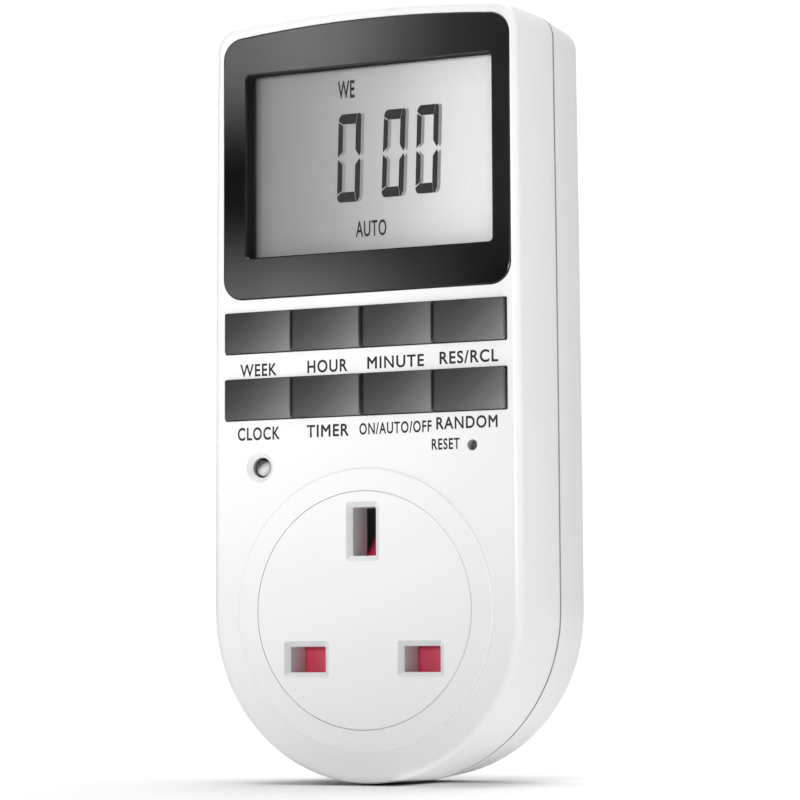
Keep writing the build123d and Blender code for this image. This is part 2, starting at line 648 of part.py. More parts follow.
with BuildPart() as switched_line_strip:
    strip_y = (BASE_Y + BASE_T, BASE_Y + BASE_T + STRIP_T)
    block((LIVE_X - 1.7, LIVE_X + 1.7), strip_y, (LIVE_Z - 2.0, 36.0))
    block((LIVE_X - 1.7, LIVE_X + 1.7), (strip_y[0], POWER_FRONT_Y), (35.4, 36.0))
save(switched_line_strip.part, "switched_line_strip")

# ---- power board and its parts -------------------------------------------------------------------
with BuildPart() as power_board:
    block((-25.6, 25.6), (POWER_FRONT_Y, POWER_BACK_Y), (27.0, 93.6))
    fillet(power_board.edges().filter_by(Axis.Y), radius=1.5)
    for x, z in POWER_SCREWS:
        rod(x, z, (POWER_FRONT_Y - 1, POWER_BACK_Y + 1), 1.0, Mode.SUBTRACT)
save(power_board.part, "power_board")

with BuildPart() as power_board_screws:
    for x, z in POWER_SCREWS:
        rod(x, z, (POWER_FRONT_Y - 1.0, POWER_FRONT_Y), 1.7)
        rod(x, z, (POWER_FRONT_Y, POWER_BACK_Y + 2.0), 0.8)
        for width, height in ((2.4, 0.6), (0.6, 2.4)):
            tube(
                x, z, (POWER_FRONT_Y - 1.5, POWER_FRONT_Y - 0.5), width, height, Mode.SUBTRACT
            )
save(power_board_screws.part, "power_board_screws")

RELAY_X, RELAY_Z = -15.5, 46.0
RELAY_W, RELAY_H, RELAY_D = 15.4, 19.2, 15.0
RELAY_BASE_T = 1.6
relay_floor_y = POWER_FRONT_Y - RELAY_BASE_T
relay_top_y = POWER_FRONT_Y - RELAY_D
PIVOT_Z = RELAY_Z + 5.6
COIL_TOP_Y = relay_floor_y - 8.4
ARMATURE_T = 0.8
AIR_GAP = 0.35
armature_back_y = COIL_TOP_Y - AIR_GAP
armature_front_y = armature_back_y - ARMATURE_T
with BuildPart() as relay_base:
    tube(RELAY_X, RELAY_Z, (relay_floor_y, POWER_FRONT_Y), RELAY_W, RELAY_H)
save(relay_base.part, "relay_base")

with BuildPart() as relay_cover:
    tube(RELAY_X, RELAY_Z, (relay_top_y, relay_floor_y), RELAY_W, RELAY_H, corner=0.8)
    tube(
        RELAY_X,
        RELAY_Z,
        (relay_top_y + 0.8, relay_floor_y + 1),
        RELAY_W - 1.6,
        RELAY_H - 1.6,
        Mode.SUBTRACT,
    )
save(relay_cover.part, "relay_cover")

with BuildPart() as relay_yoke:
    yoke_y = (armature_back_y, relay_floor_y)
    block((RELAY_X - 4.5, RELAY_X + 4.5), yoke_y, (PIVOT_Z, PIVOT_Z + 1.2))
    block(
        (RELAY_X - 4.5, RELAY_X + 4.5),
        (relay_floor_y - 1.0, relay_floor_y),
        (RELAY_Z - 5.0, PIVOT_Z + 0.1),
    )
    rod(RELAY_X, RELAY_Z, (COIL_TOP_Y, relay_floor_y - 0.5), 2.0)
save(relay_yoke.part, "relay_yoke")

with BuildPart() as relay_coil:
    rod(RELAY_X, RELAY_Z, (COIL_TOP_Y + 0.6, relay_floor_y - 1.0), 4.6)
    rod(RELAY_X, RELAY_Z, (COIL_TOP_Y - 1, relay_floor_y), 2.05, Mode.SUBTRACT)
save(relay_coil.part, "relay_coil")

FINGER_T = 0.5
with BuildPart() as relay_armature:
    armature_y = (armature_front_y, armature_back_y)
    block((RELAY_X - 4.2, RELAY_X + 4.2), armature_y, (RELAY_Z - 6.0, PIVOT_Z + 1.0))
    finger_y = (armature_front_y - FINGER_T, armature_front_y)
    block((RELAY_X - 1.6, RELAY_X + 1.6), finger_y, (RELAY_Z - 8.0, RELAY_Z + 3.0))
save(relay_armature.part, "relay_armature")

CONTACT_GAP = 0.65
with BuildPart() as relay_contact:
    contact_y = armature_front_y + CONTACT_GAP
    contact_x = (RELAY_X - 1.4, RELAY_X + 1.4)
    block(contact_x, (contact_y, contact_y + 0.6), (RELAY_Z - 8.7, RELAY_Z - 6.4))
    block(contact_x, (contact_y, relay_floor_y), (RELAY_Z - 8.75, RELAY_Z - 8.35))
save(relay_contact.part, "relay_contact")

with BuildPart() as supply_capacitor:
    block((6.0, 14.6), (POWER_FRONT_Y - 13.0, POWER_FRONT_Y), (58.0, 76.0))
    fillet(supply_capacitor.edges().filter_by(Axis.Y), radius=0.8)
save(supply_capacitor.part, "supply_capacitor")

with BuildPart() as smoothing_capacitor:
    rod(19.6, 52.0, (POWER_FRONT_Y - 11.0, POWER_FRONT_Y), 4.0)
    fillet(smoothing_capacitor.faces().sort_by(Axis.Y)[0].edges(), radius=0.6)
save(smoothing_capacitor.part, "smoothing_capacitor")

with BuildPart() as varistor:
    with BuildSketch(Plane.YZ.offset(18.4)):
        with Locations((POWER_FRONT_Y - 5.2, 80.0)):
            Circle(5.0)
    extrude(amount=3.6)
    fillet(varistor.edges().filter_by(GeomType.CIRCLE), radius=1.2)
    for z in (77.5, 82.5):
        rod(20.2, z, (POWER_FRONT_Y - 2.5, POWER_FRONT_Y), 0.35)
save(varistor.part, "varistor")

with BuildPart() as fuse_resistor:
    rod(2.0, 40.0, (POWER_FRONT_Y - 9.0, POWER_FRONT_Y), 1.9)
    fillet(fuse_resistor.faces().sort_by(Axis.Y)[0].edges(), radius=0.7)
save(fuse_resistor.part, "fuse_resistor")

with BuildPart() as rectifier_diodes:
    for i in range(4):
        z = 60.0 + 3.6 * i
        with BuildSketch(Plane.YZ.offset(-6.0)):
            with Locations((POWER_FRONT_Y - 1.35, z)):
                Circle(1.3)
        extrude(amount=5.0)
save(rectifier_diodes.part, "rectifier_diodes")

# ---- fasteners and label ---------------------------------------------------------------------------
with BuildPart() as case_screws:
    for x, z in CASE_SCREWS:
        screw(x, z, REAR_Y - 6.0, 1.7, 2.15, 1.2, 15.0)
save(case_screws.part, "case_screws")

with BuildPart() as rating_label:
    tube(0, 60.0, (REAR_Y - 0.2, REAR_Y - 0.05), 41.0, 29.0, corner=1.2)
save(rating_label.part, "rating_label")
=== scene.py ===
"""Plug-in programmable timer: looks, lettering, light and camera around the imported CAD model."""

import math

import bmesh
import bpy
from mathutils import Matrix, Vector


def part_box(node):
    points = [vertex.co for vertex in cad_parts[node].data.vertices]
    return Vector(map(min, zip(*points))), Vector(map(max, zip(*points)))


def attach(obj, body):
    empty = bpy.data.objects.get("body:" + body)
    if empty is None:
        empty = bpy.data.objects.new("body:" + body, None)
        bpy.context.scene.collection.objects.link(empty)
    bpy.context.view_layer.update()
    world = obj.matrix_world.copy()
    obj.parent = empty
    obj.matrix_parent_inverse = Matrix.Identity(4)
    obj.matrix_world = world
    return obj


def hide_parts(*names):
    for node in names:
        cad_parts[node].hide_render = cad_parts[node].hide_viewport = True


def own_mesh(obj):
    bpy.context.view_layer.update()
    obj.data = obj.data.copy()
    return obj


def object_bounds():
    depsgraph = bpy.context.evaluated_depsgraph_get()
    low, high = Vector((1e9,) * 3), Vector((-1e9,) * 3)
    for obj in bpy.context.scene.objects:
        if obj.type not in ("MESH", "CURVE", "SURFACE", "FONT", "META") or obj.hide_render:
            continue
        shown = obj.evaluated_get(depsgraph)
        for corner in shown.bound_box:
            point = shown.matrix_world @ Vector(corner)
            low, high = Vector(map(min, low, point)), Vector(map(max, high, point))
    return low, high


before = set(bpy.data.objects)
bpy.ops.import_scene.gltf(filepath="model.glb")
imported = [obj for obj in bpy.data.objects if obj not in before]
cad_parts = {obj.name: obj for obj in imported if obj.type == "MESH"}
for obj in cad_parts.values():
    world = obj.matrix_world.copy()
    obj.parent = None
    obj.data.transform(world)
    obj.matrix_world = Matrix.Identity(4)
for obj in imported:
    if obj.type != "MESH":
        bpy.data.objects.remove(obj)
cad_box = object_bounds()
ROOT = "housing"
MM = 0.001

# Places that the lettering and the display content need, in millimetres.
FACE_Y = -32.0
GLASS_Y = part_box("lcd_glass")[0].y / MM
FLOOR_Z = cad_box[0].z


# ---------------------------------------------------------------- camera

CAMERA_AT = Vector((0.2347, -0.4998, -0.0117))
CAMERA_YAW, CAMERA_PITCH, CAMERA_ROLL = 25.94, 5.0, 0.27

camera_data = bpy.data.cameras.new("camera")
camera_data.lens = 135
camera_data.sensor_width = 36
camera_data.clip_start = 0.01
camera_data.clip_end = 50
camera = bpy.data.objects.new("camera", camera_data)
bpy.context.scene.collection.objects.link(camera)
turn = (
    Matrix.Rotation(math.radians(CAMERA_YAW), 4, "Z")
    @ Matrix.Rotation(math.radians(90 + CAMERA_PITCH), 4, "X")
    @ Matrix.Rotation(math.radians(-CAMERA_ROLL), 4, "Z")
)
camera.matrix_world = Matrix.Translation(CAMERA_AT) @ turn
bpy.context.scene.camera = camera


# ---------------------------------------------------------------- node helpers


def linear(tone):
    """Linear light of an 8-bit display tone."""
    v = tone / 255
    return v / 12.92 if v <= 0.04045 else ((v + 0.055) / 1.055) ** 2.4


def grey(tone, tint=(1, 1, 1)):
    return tuple(linear(tone) * t for t in tint)


class Look:
    """A procedural material: a Principled shader, and short calls that feed it."""

    def __init__(self, name):
        self.mat = bpy.data.materials.get(name) or bpy.data.materials.new(name)
        self.mat.use_nodes = True
        self.tree = self.mat.node_tree
        self.tree.nodes.clear()
        self.out = self.node("ShaderNodeOutputMaterial")
        self.shader = self.node("ShaderNodeBsdfPrincipled")
        self.link(self.shader.outputs["BSDF"], self.out.inputs["Surface"])

    def node(self, kind, **settings):
        made = self.tree.nodes.new(kind)
        for key, value in settings.items():
            setattr(made, key, value)
        return made

    def link(self, a, b):
        self.tree.links.new(a, b)

    def set(self, **values):
        for key, value in values.items():
            socket = self.shader.inputs[key.replace("_", " ")]
            if isinstance(value, tuple) and len(value) == 3:
                value = (*value, 1)
            socket.default_value = value
        return self

    def coords(self, kind="Object", scale=(1, 1, 1), turn=(0, 0, 0)):
        source = self.node("ShaderNodeTexCoord")
        mapping = self.node("ShaderNodeMapping")
        mapping.inputs["Scale"].default_value = scale
        mapping.inputs["Rotation"].default_value = turn
        self.link(source.outputs[kind], mapping.inputs["Vector"])
        return mapping.outputs["Vector"]

    def axis(self, vector, letter):
        parts = self.node("ShaderNodeSeparateXYZ")
        self.link(vector, parts.inputs[0])
        return parts.outputs[letter]

    def noise(self, vector, scale, detail=3.0, rough=0.55):
        made = self.node("ShaderNodeTexNoise")
        made.inputs["Scale"].default_value = scale
        made.inputs["Detail"].default_value = detail
        made.inputs["Roughness"].default_value = rough
        self.link(vector, made.inputs["Vector"])
        return made.outputs["Fac"]

    def cells(self, vector, scale):
        made = self.node("ShaderNodeTexVoronoi")
        made.inputs["Scale"].default_value = scale
        self.link(vector, made.inputs["Vector"])
        return made.outputs["Distance"]

    def wave(self, vector, scale, distortion, direction):
        made = self.node("ShaderNodeTexWave", bands_direction=direction)
        made.inputs["Scale"].default_value = scale
        made.inputs["Distortion"].default_value = distortion
        made.inputs["Detail"].default_value = 1.5
        self.link(vector, made.inputs["Vector"])
        return made.outputs["Fac"]

    def ramp(self, value, stops, mode="LINEAR"):
        """Colour ramp; stops are (position, grey or colour) in order."""
        made = self.node("ShaderNodeValToRGB")
        made.color_ramp.interpolation = mode
        elements = made.color_ramp.elements
        while len(elements) > 1:
            elements.remove(elements[-1])
        for i, (position, colour) in enumerate(stops):
            element = elements[0] if i == 0 else elements.new(position)
            element.position = position
            if not isinstance(colour, tuple):
                colour = (colour,) * 3
            element.color = (*colour, 1)
        self.link(value, made.inputs["Fac"])
        return made.outputs["Color"]

    def spread(self, value, a, b, low=0.0, high=1.0, smooth=False):
        """The value's range a to b as low to high, held inside it."""
        made = self.node("ShaderNodeMapRange")
        made.interpolation_type = "SMOOTHSTEP" if smooth else "LINEAR"
        for socket, number in zip(("From Min", "From Max", "To Min", "To Max"), (a, b, low, high)):
            made.inputs[socket].default_value = number
        self.link(value, made.inputs["Value"])
        return made.outputs["Result"]

    def maths(self, operation, a, b=None):
        made = self.node("ShaderNodeMath", operation=operation)
        for i, value in enumerate((a, b)):
            if value is None:
                continue
            if isinstance(value, (int, float)):
                made.inputs[i].default_value = value
            else:
                self.link(value, made.inputs[i])
        return made.outputs[0]

    def mix(self, factor, a, b, mode="MIX"):
        made = self.node("ShaderNodeMix", data_type="RGBA", blend_type=mode)
        for socket, value in ((made.inputs[0], factor), (made.inputs[6], a), (made.inputs[7], b)):
            if isinstance(value, (int, float)):
                socket.default_value = value
            elif isinstance(value, tuple):
                socket.default_value = (*value, 1)
            else:
                self.link(value, socket)
        return made.outputs[2]

    def colour(self, source):
        self.link(source, self.shader.inputs["Base Color"])
        return self

    def rough(self, value, low, high):
        self.link(self.spread(value, 0.25, 0.75, low, high), self.shader.inputs["Roughness"])
        return self

    def bump(self, height, distance):
        """distance in millimetres."""
        made = self.node("ShaderNodeBump")
        made.inputs["Strength"].default_value = 1.0
        made.inputs["Distance"].default_value = distance * MM
        self.link(height, made.inputs["Height"])
        self.link(made.outputs["Normal"], self.shader.inputs["Normal"])
        return self


def shade(colour, factor):
    return tuple(min(1.0, c * factor) for c in colour)


def plastic(slot, colour, rough, wear=0.06, grain=0.012, grain_size=0.35):
    """Moulded plastic: a slow drift of tone, a satin-to-gloss patchiness and a fine orange peel.
    grain and grain_size are in millimetres."""
    look = Look(slot)
    at = look.coords()
    drift = look.noise(at, 55, 4)
    look.colour(look.ramp(drift, [(0.3, shade(colour, 1 - wear)), (0.7, shade(colour, 1 + wear / 3))]))
    look.rough(look.noise(at, 240, 3), rough * 0.86, rough * 1.16)
    peel = look.noise(at, 1 / (grain_size * MM), 2, 0.4)
    look.bump(peel, grain)
    return look


def metal(slot, colour, rough, brush=(1, 1, 30), brush_scale=900, tarnish=0.16):
    """Drawn or stamped metal: brush lines along one way and a slight tarnish."""
    look = Look(slot)
    look.set(Metallic=1.0)
    at = look.coords()
    lines = look.noise(look.coords(scale=brush), brush_scale, 2, 0.5)
    tarnish_and_painted_shade = look.noise(at, 160, 5, 0.6)
    look.colour(look.ramp(tarnish_and_painted_shade, [(0.32, shade(colour, 1 - tarnish)), (0.62, colour)]))
    look.rough(lines, rough * 0.8, rough * 1.3)
    look.bump(lines, 0.006)
    return look


# ---------------------------------------------------------------- finishes of the CAD nodes

looks = {}

WHITE = (0.83, 0.832, 0.838)
SEAM_MIDDLE_Y = -16.125
SEAM_SHADE_FULL, SEAM_SHADE_NONE = 0.26, 0.44  # how far from the seam's middle the painted shade is full, and gone
SEAM_SHADE = (0.3, 0.3, 0.3)


def shell():
    """Polished white moulding, with painted shade in the line where its two halves meet, a little patchy
    along it.
    """
    look = Look("shell_white")
    at = look.coords()
    drift = look.noise(at, 40, 3)
    clean = look.ramp(drift, [(0.3, shade(WHITE, 0.994)), (0.7, shade(WHITE, 1.002))])
    # Painted shade: the base colour turns to dark grey in a narrow band about the seam's middle.
    off = look.maths("ABSOLUTE", look.maths("SUBTRACT", look.axis(at, "Y"), SEAM_MIDDLE_Y * MM))
    seam_shade = look.spread(off, SEAM_SHADE_FULL * MM, SEAM_SHADE_NONE * MM, 1.0, 0.0, smooth=True)
    patchy_seam_shade = look.maths("MULTIPLY", seam_shade, look.spread(look.noise(at, 260, 3), 0.3, 0.7, 0.55, 0.8))
    look.colour(look.mix(patchy_seam_shade, clean, SEAM_SHADE))
    look.rough(look.noise(at, 200, 3), 0.28, 0.31)
    look.bump(look.noise(at, 900, 2, 0.4), 0.0006)
    return look


looks["shell_white"] = shell()


def outlet():
    """Polished white moulding, with painted shade on its faces that turn right and down, as the edges of its
    openings do.
    """
    look = Look("outlet_white")
    at = look.coords()
    drift = look.noise(at, 55, 4)
    clean = look.ramp(drift, [(0.3, (0.83, 0.833, 0.84)), (0.7, (0.837, 0.84, 0.847))])
    # Painted shade: faces whose normals turn right and down are mixed towards a mid grey.
    facing = look.node("ShaderNodeNewGeometry").outputs["Normal"]
    turned = look.maths("SUBTRACT", look.axis(facing, "X"), look.axis(facing, "Z"))
    tarnish_and_painted_shade = look.spread(turned, 0.2, 0.65, 0.0, 0.42, smooth=True)
    look.colour(look.mix(tarnish_and_painted_shade, clean, (0.42, 0.42, 0.425)))
    look.rough(look.noise(at, 240, 3), 0.28, 0.38)
    look.bump(look.noise(at, 2200, 2, 0.4), 0.0015)
    return look


looks["outlet_white"] = outlet()


# The bezel's front is glossy. From its face back to here it turns matt, as the walls of the window are.
BEZEL_GLOSS_Y, BEZEL_MATT_Y = -31.95, -31.75


def bezel():
    """Black gloss moulding, with faint wipe marks in its polish and matt walls inside its window."""
    look = Look("bezel_black")
    at = look.coords()
    haze = look.noise(look.coords(scale=(1, 1, 2.4)), 90, 4, 0.6)
    look.colour(look.ramp(haze, [(0.3, (0.0015, 0.0015, 0.0017)), (0.7, (0.003, 0.003, 0.0032))]))
    polish = look.spread(haze, 0.25, 0.75, 0.045, 0.06)
    inside = look.spread(look.axis(at, "Y"), BEZEL_GLOSS_Y * MM, BEZEL_MATT_Y * MM, 0.0, 0.94)
    look.link(look.maths("ADD", polish, inside), look.shader.inputs["Roughness"])
    look.bump(look.noise(at, 300, 2), 0.0004)
    return look


looks["bezel_black"] = bezel()


def lens():
    """Clear acrylic plate with a trace of fine scuffs."""
    look = Look("lens_clear")
    at = look.coords(scale=(1, 1, 5))
    look.set(Alpha=0.05, IOR=1.49)
    haze = look.noise(at, 70, 3)
    look.colour(look.ramp(haze, [(0.3, (0.03, 0.032, 0.033)), (0.7, (0.05, 0.052, 0.052))]))
    look.rough(look.noise(at, 900, 3, 0.7), 0.01, 0.05)
    return look


looks["lens_clear"] = lens()

# Tone across the display from its left edge to its right, as (x in mm, tone); the first stops are painted
# shade along the left edge, under the window's wall.
DISPLAY_TONES = (
    (-23.6, 83), (-22.9, 104), (-22.0, 130), (-19.0, 137), (-15.0, 142), (-11.0, 149), (-7.0, 157),
    (-3.0, 169), (1.0, 178), (5.0, 188), (9.0, 201), (13.0, 213), (18.0, 225), (22.0, 235),
    (24.0, 235), (24.25, 196), (25.2, 190),
)
DISPLAY_GAIN = 1.2


def display():
    """Grey polariser over a liquid-crystal cell: its tone rises slowly from left to right, with painted shade
    in a strip along its left edge, and the faint upright fibre of the film."""
    look = Look("lcd_grey")
    at = look.coords()
    x = look.axis(at, "X")
    low, high = DISPLAY_TONES[0][0], DISPLAY_TONES[-1][0]
    stops = [
        ((mm - low) / (high - low), shade(grey(tone, (1, 1, 0.995)), DISPLAY_GAIN))
        for mm, tone in DISPLAY_TONES
    ]
    sweep = look.ramp(look.spread(x, low * MM, high * MM), stops)
    fibre = look.noise(look.coords(scale=(1, 1, 0.12)), 1500, 2, 0.5)
    tint = look.ramp(fibre, [(0.3, 0.975), (0.7, 1.0)])
    look.colour(look.mix(1.0, sweep, tint, "MULTIPLY"))
    look.rough(look.noise(at, 2600, 2), 0.42, 0.52)
    look.set(Specular_IOR_Level=0.2)
    return look


looks["lcd_grey"] = display()


def key_cap():
    """Satin dark plastic, with a painted sheen on its dished top, brighter towards the lower right."""
    look = Look("key_grey")
    own = look.coords("Generated")
    across = look.spread(look.axis(own, "X"), 0.05, 1.0)
    down = look.spread(look.axis(own, "Z"), 1.0, 0.0)
    # Painted sheen: the base colour grows lighter towards each key's lower right.
    sweep = look.maths("ADD", look.maths("MULTIPLY", across, 0.55), look.maths("MULTIPLY", down, 0.45))
    base = look.ramp(
        sweep, [(0.0, grey(26)), (0.25, grey(50)), (0.5, grey(78)), (0.75, grey(108)), (1.0, grey(138))]
    )
    at = look.coords()
    speck = look.noise(at, 4200, 2, 0.6)
    look.colour(look.mix(1.0, base, look.ramp(speck, [(0.3, 0.93), (0.7, 1.0)]), "MULTIPLY"))
    look.rough(look.noise(at, 500, 3), 0.36, 0.44)
    look.bump(speck, 0.003)
    look.set(Specular_IOR_Level=0.15)
    return look


looks["key_grey"] = key_cap()

# Base colour, roughness, and whatever differs from the usual.
PLASTICS = {
    "button_black": ((0.06, 0.06, 0.062), 0.45, {"grain": 0.01}),
    "shutter_red": ((0.84, 0.06, 0.13), 0.34, {"wear": 0.14, "grain": 0.008}),
    "frame_white": ((0.72, 0.72, 0.7), 0.5, {"grain": 0.01}),
    "carrier_white": ((0.68, 0.68, 0.63), 0.55, {"grain": 0.012}),
    "header_black": ((0.02, 0.02, 0.02), 0.5, {"wear": 0.2}),
    "sleeve_black": ((0.012, 0.012, 0.013), 0.42, {"wear": 0.25, "grain": 0.02}),
    "relay_case": ((0.02, 0.09, 0.3), 0.4, {"wear": 0.1}),
    "relay_base": ((0.03, 0.03, 0.03), 0.5, {"wear": 0.2}),
    "capacitor_yellow": ((0.72, 0.5, 0.05), 0.36, {"wear": 0.1}),
    "capacitor_sleeve": ((0.02, 0.025, 0.06), 0.28, {"wear": 0.15, "grain": 0.02, "grain_size": 1.2}),
    "varistor_blue": ((0.04, 0.12, 0.36), 0.34, {"wear": 0.15, "grain": 0.03, "grain_size": 1.5}),
    "resistor_green": ((0.16, 0.34, 0.29), 0.6, {"wear": 0.15, "grain": 0.03}),
    "diode_black": ((0.015, 0.015, 0.016), 0.32, {"wear": 0.2}),
    "chip_black": ((0.018, 0.018, 0.019), 0.55, {"wear": 0.2, "grain": 0.012, "grain_size": 0.12}),
    "mat_rubber": ((0.62, 0.62, 0.6), 0.62, {"wear": 0.05, "grain": 0.02}),
}
METALS = {
    "reflector": ((0.78, 0.78, 0.79), 0.45, {"brush": (1, 1, 40)}),
    "can_steel": ((0.66, 0.66, 0.67), 0.26, {}),
    "screw_steel": ((0.6, 0.61, 0.62), 0.3, {"brush": (1, 12, 1)}),
    "spring_steel": ((0.62, 0.62, 0.63), 0.24, {"brush": (1, 1, 12)}),
    "relay_iron": ((0.52, 0.52, 0.53), 0.34, {}),
    "link_brass": ((0.74, 0.56, 0.26), 0.28, {"brush": (1, 20, 1)}),
    "contact_brass": ((0.75, 0.55, 0.24), 0.3, {"brush": (30, 1, 1)}),
    "pin_brass": ((0.78, 0.6, 0.3), 0.22, {"brush": (24, 1, 24), "tarnish": 0.2}),
    "strip_copper": ((0.7, 0.34, 0.17), 0.32, {"brush": (1, 1, 26)}),
}
for slot, (colour, rough, options) in PLASTICS.items():
    looks[slot] = plastic(slot, colour, rough, **options)
for slot, (colour, rough, options) in METALS.items():
    looks[slot] = metal(slot, colour, rough, **options)


def striped(slot, a, b, scale, direction, rough, metallic=0.0):
    """Fine regular layers, as in a wound coil or a layered rubber strip."""
    look = Look(slot)
    lines = look.wave(look.coords(), scale, 0.2, direction)
    look.colour(look.ramp(lines, [(0.25, a), (0.75, b)]))
    look.rough(lines, rough * 0.85, rough * 1.15)
    look.bump(lines, 0.04)
    look.set(Metallic=metallic)
    return look


STRIP_DARK, STRIP_LIGHT = (0.02, 0.02, 0.024), (0.3, 0.3, 0.33)
COPPER_DARK, COPPER_LIGHT = (0.2, 0.06, 0.02), (0.62, 0.24, 0.09)
looks["strip_rubber"] = striped("strip_rubber", STRIP_DARK, STRIP_LIGHT, 1600, "X", 0.6)
looks["coil_wire"] = striped("coil_wire", COPPER_DARK, COPPER_LIGHT, 900, "Y", 0.3, 0.7)


def board(slot, mask, track, drill):
    """Circuit board: tracks under a solder mask, and the holes' plated rings."""
    look = Look(slot)
    at = look.coords(turn=(math.radians(90), 0, 0))
    bricks = look.node("ShaderNodeTexBrick")
    bricks.offset = 0.37
    bricks.inputs["Scale"].default_value = 150
    bricks.inputs["Mortar Size"].default_value = 0.09
    bricks.inputs["Color1"].default_value = (*mask, 1)
    bricks.inputs["Color2"].default_value = (*shade(mask, 0.82), 1)
    bricks.inputs["Mortar"].default_value = (*track, 1)
    look.link(at, bricks.inputs["Vector"])
    holes = look.cells(look.coords(), drill)
    pads = look.ramp(holes, [(0.1, (0.6, 0.56, 0.44)), (0.14, (0, 0, 0))])
    look.colour(look.mix(1.0, bricks.outputs["Color"], pads, "LIGHTEN"))
    look.rough(look.noise(at, 400), 0.28, 0.42)
    look.bump(bricks.outputs["Fac"], 0.03)
    return look


looks["board_green"] = board("board_green", (0.02, 0.16, 0.06), (0.05, 0.3, 0.12), 330)
looks["board_tan"] = board("board_tan", (0.46, 0.31, 0.11), (0.34, 0.2, 0.07), 260)


def lamp():
    """Clear epoxy lamp, slightly clouded, with painted shade to the upper left and a painted highlight to the
    lower right.
    """
    look = Look("led_clear")
    at = look.coords()
    look.set(Transmission_Weight=0.25, IOR=1.5)
    own = look.coords("Generated")
    # Painted shade and highlight: darker to the upper left, brighter to the lower right.
    across = look.maths("SUBTRACT", look.axis(own, "X"), look.axis(own, "Z"))
    painted_shade_and_highlight = look.ramp(
        look.spread(across, -0.55, 0.55), [(0.2, 0.04), (0.42, 0.12), (0.5, 0.5), (0.62, 0.75), (0.72, 1.0)]
    )
    milk = look.ramp(look.noise(at, 900, 3), [(0.3, (0.86, 0.87, 0.88)), (0.7, (0.97, 0.98, 0.98))])
    look.colour(look.mix(1.0, milk, painted_shade_and_highlight, "MULTIPLY"))
    look.rough(look.noise(at, 1600), 0.06, 0.14)
    return look


looks["led_clear"] = lamp()


def label_film():
    """Blank silvered film with a brushed grain and a printed border line."""
    look = Look("label_silver")
    at = look.coords()
    lines = look.noise(look.coords(scale=(1, 1, 40)), 800, 2)
    low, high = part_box("rating_label")
    middle = (low + high) / 2
    half_x, half_z = (high.x - low.x) / 2, (high.z - low.z) / 2
    dx = look.maths("ABSOLUTE", look.maths("SUBTRACT", look.axis(at, "X"), middle.x))
    dz = look.maths("ABSOLUTE", look.maths("SUBTRACT", look.axis(at, "Z"), middle.z))
    edge = look.maths(
        "MINIMUM", look.maths("SUBTRACT", half_x, dx), look.maths("SUBTRACT", half_z, dz)
    )
    margin = look.spread(edge, 0.8 * MM, 1.6 * MM)
    line = look.ramp(margin, [(0.3, 1.0), (0.36, 0.2), (0.64, 0.2), (0.7, 1.0)])
    film = look.ramp(lines, [(0.3, (0.5, 0.51, 0.53)), (0.7, (0.62, 0.63, 0.65))])
    look.colour(look.mix(1.0, film, line, "MULTIPLY"))
    look.rough(lines, 0.32, 0.46)
    look.bump(lines, 0.002)
    look.set(Metallic=0.35)
    return look


looks["label_silver"] = label_film()


# ---------------------------------------------------------------- added pieces


def ink(name, tone, variation=0.12):
    """Printed ink, switched-on display segments and their painted shadows, each of a tone from 0 to 255."""
    look = Look(name)
    at = look.coords()
    base = grey(tone)
    density = [(0.3, shade(base, 1 - variation)), (0.7, shade(base, 1 + variation))]
    look.colour(look.ramp(look.noise(at, 5000, 3), density))
    look.rough(look.noise(at, 3000), 0.425, 0.575)
    look.set(Specular_IOR_Level=0.2)
    return look


print_ink = ink("print_ink", 40)
segment_ink = ink("segment_ink", 40)
shadow_ink = ink("segment_shadow", 150, 0.04)


def piece(name, mesh, material):
    """A new object at the frame's origin that rides on the housing."""
    made = bpy.data.objects.new(name, mesh)
    bpy.context.scene.collection.objects.link(made)
    mesh.materials.clear()
    mesh.materials.append(material)
    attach(made, ROOT)
    return made


def mesh_from(name, bm):
    bmesh.ops.remove_doubles(bm, verts=bm.verts, dist=1e-7)
    bmesh.ops.recalc_face_normals(bm, faces=bm.faces)
    mesh = bpy.data.meshes.new(name)
    bm.to_mesh(mesh)
    bm.free()
    return mesh


LETTER_DEPTH = 0.01


def letter_mesh(text, spacing=1.0):
    """A text in the built-in font as a thin solid of size 1, LETTER_DEPTH deep to each side."""
    curve = bpy.data.curves.new("letters", "FONT")
    curve.body = text
    curve.size = 1.0
    curve.space_character = spacing
    curve.extrude = LETTER_DEPTH
    curve.resolution_u = 5
    holder = bpy.data.objects.new("letters", curve)
    bpy.context.scene.collection.objects.link(holder)
    bpy.context.view_layer.update()
    solid = holder.evaluated_get(bpy.context.evaluated_depsgraph_get())
    mesh = bpy.data.meshes.new_from_object(solid)
    bpy.data.objects.remove(holder)
    bpy.data.curves.remove(curve)
    return mesh


CAPITAL = max(v.co.y for v in letter_mesh("E").vertices)


def embolden(mesh, weight):
    """Moves every outline of a letter mesh outwards by a distance."""
    bm = bmesh.new()
    bm.from_mesh(mesh)
    bmesh.ops.remove_doubles(bm, verts=bm.verts, dist=1e-5)
    bmesh.ops.recalc_face_normals(bm, faces=bm.faces)
    moves = []
    for v in bm.verts:
        walls = [f.normal for f in v.link_faces if abs(f.normal.z) < 0.5]
        if len(walls) >= 2:
            a, b = walls[0], min(walls, key=walls[0].dot)
            moves.append((v, (a + b) * (weight / max(0.5, 1 + a.dot(b)))))
    for v, move in moves:
        v.co += move
    bm.to_mesh(mesh)
    bm.free()


